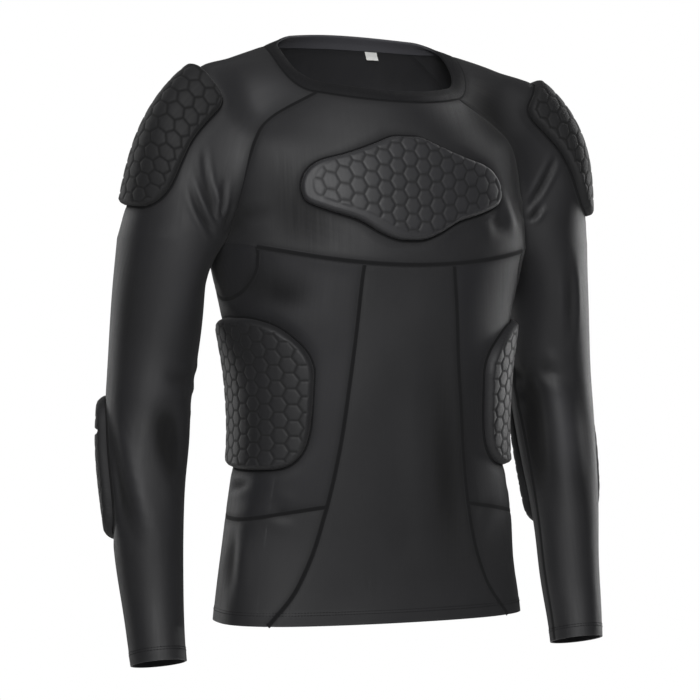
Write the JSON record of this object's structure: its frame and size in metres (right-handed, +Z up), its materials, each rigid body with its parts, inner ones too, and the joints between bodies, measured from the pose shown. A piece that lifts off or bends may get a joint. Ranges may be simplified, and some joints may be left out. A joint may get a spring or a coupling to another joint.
{
  "type": "padded long-sleeve armour shirt",
  "caption": "Close-fitting pull-on shirt with raglan sleeves and hexagon-cell foam pads on chest, shoulders, ribs and elbows, hollow as worn.",
  "frame": {"origin": "on the wearer's centre line, level with the neck edge where the shirt rests on the shoulders", "axes": "+Z up, -Y the way the wearer faces, +X the wearer's left"},
  "size_m": [0.6152, 0.246, 0.7011],
  "materials": {
    "cloth": "charcoal stretch knit with a satin sheen",
    "side_cloth": "charcoal stretch mesh knit",
    "neckband": "charcoal rib knit",
    "pad": "charcoal cloth bonded over foam cells",
    "label": "white woven tape, blank"
  },
  "bodies": {
    "root": {"front_yoke": "cloth", "back_yoke": "cloth", "back": "cloth", "front_center": "cloth", "hip_left": "cloth", "hip_right": "cloth", "raglan_front_left": "cloth", "raglan_front_right": "cloth", "raglan_back_left": "cloth", "raglan_back_right": "cloth", "sleeve_upper_left": "cloth", "sleeve_upper_right": "cloth", "sleeve_lower_left": "cloth", "sleeve_lower_right": "cloth", "side_left": "side_cloth", "side_right": "side_cloth", "gusset_left": "side_cloth", "gusset_right": "side_cloth", "neckband": "neckband", "chest_pad": "pad", "rib_pad_left": "pad", "rib_pad_right": "pad", "shoulder_pad_left": "pad", "shoulder_pad_right": "pad", "elbow_pad_left": "pad", "elbow_pad_right": "pad", "label": "label"}
  },
  "joints": []
}
